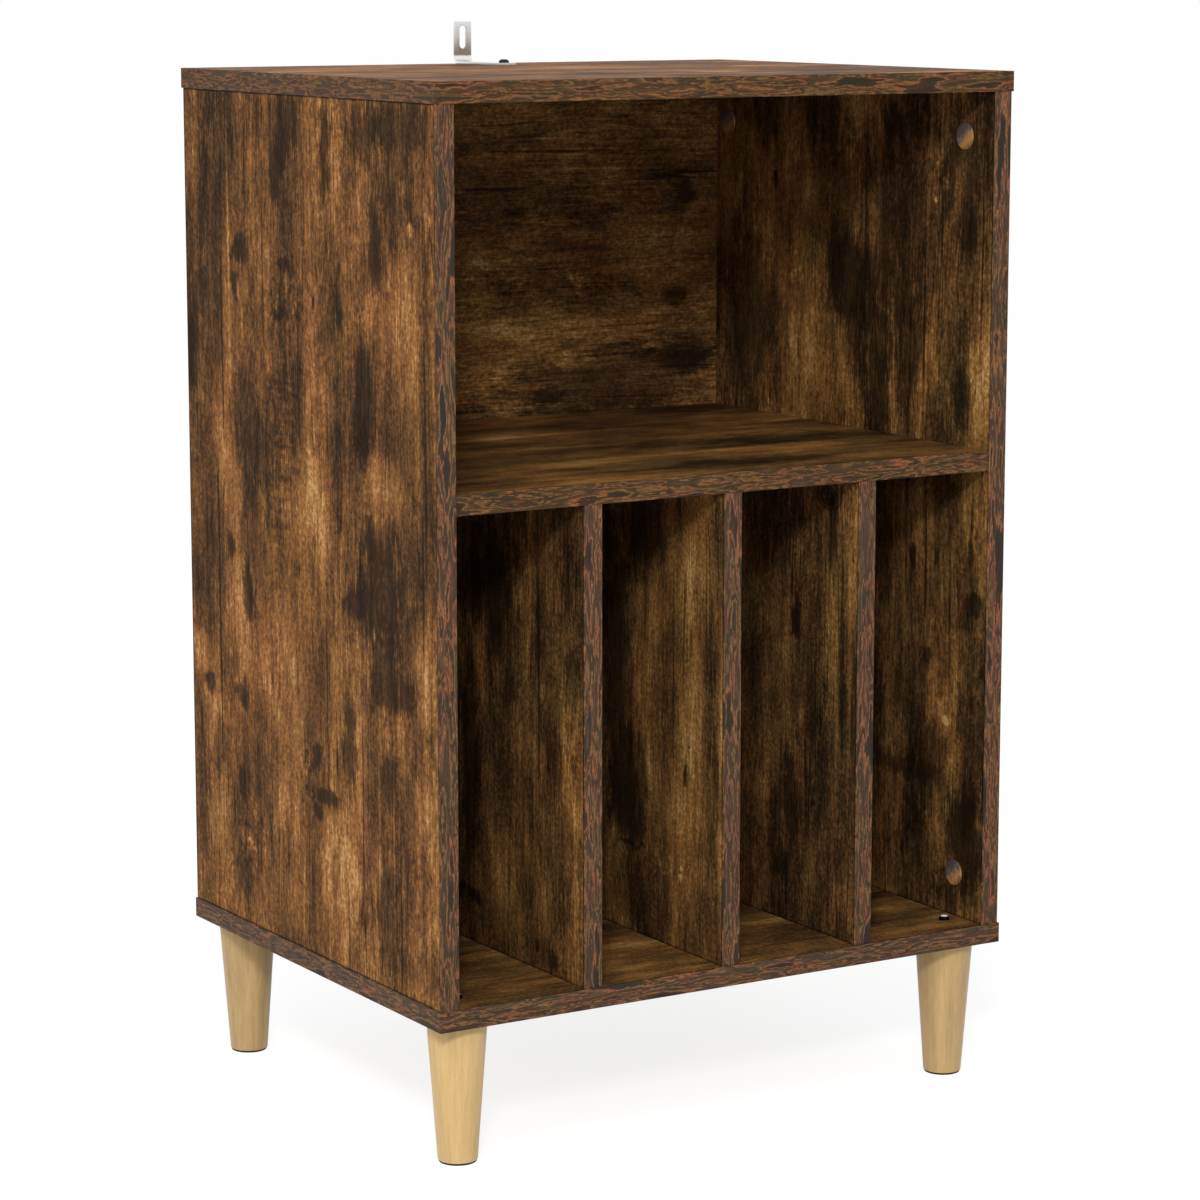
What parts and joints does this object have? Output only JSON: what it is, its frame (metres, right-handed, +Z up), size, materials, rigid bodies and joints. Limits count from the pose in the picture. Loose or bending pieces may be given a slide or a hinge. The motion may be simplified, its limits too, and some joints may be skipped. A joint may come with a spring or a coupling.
{
  "type": "turntable stand",
  "caption": "Open-front record cabinet on tapered round legs, with a flat top for a turntable, an upper compartment, upright record slots and a steel wall bracket.",
  "frame": {"origin": "on the floor, under the middle of the cabinet's outer box", "axes": "+Z up along the height, +Y from the open front to the rear, +X to the right seen from the front"},
  "size_m": [0.49, 0.395, 0.8],
  "materials": {
    "smoked_board": "printed decor board, satin",
    "edge_band": "printed edge band, satin",
    "leg_wood": "clear varnished light wood",
    "pad_black": "matte",
    "bracket_steel": "bright zinc plated",
    "screw_black": "black finish",
    "fitting_zinc": "die-cast zinc and plated steel",
    "insert_brass": "turned",
    "dowel_wood": "fluted beech",
    "cap_foil": "printed foil"
  },
  "bodies": {
    "root": {"top_panel": "smoked_board", "bottom_panel": "smoked_board", "left_side_panel": "smoked_board", "right_side_panel": "smoked_board", "middle_shelf": "smoked_board", "left_divider": "smoked_board", "centre_divider": "smoked_board", "right_divider": "smoked_board", "back_panel": "smoked_board", "top_panel_edge_bands": "edge_band", "bottom_panel_edge_bands": "edge_band", "left_side_edge_bands": "edge_band", "right_side_edge_bands": "edge_band", "middle_shelf_edge_band": "edge_band", "left_divider_edge_band": "edge_band", "centre_divider_edge_band": "edge_band", "right_divider_edge_band": "edge_band", "front_left_leg": "leg_wood", "front_right_leg": "leg_wood", "rear_left_leg": "leg_wood", "rear_right_leg": "leg_wood", "front_left_foot_pad": "pad_black", "front_right_foot_pad": "pad_black", "rear_left_foot_pad": "pad_black", "rear_right_foot_pad": "pad_black", "side_cam_locks": "fitting_zinc", "side_cam_bolts": "fitting_zinc", "side_dowels": "dowel_wood", "cam_cover_caps": "cap_foil", "shelf_cam_locks": "fitting_zinc", "shelf_cam_bolts": "fitting_zinc", "shelf_dowels": "dowel_wood", "divider_dowels": "dowel_wood", "divider_screws": "fitting_zinc", "leg_threaded_inserts": "insert_brass", "leg_bolts": "screw_black", "anti_tip_bracket": "bracket_steel", "bracket_screw": "screw_black"}
  },
  "joints": []
}
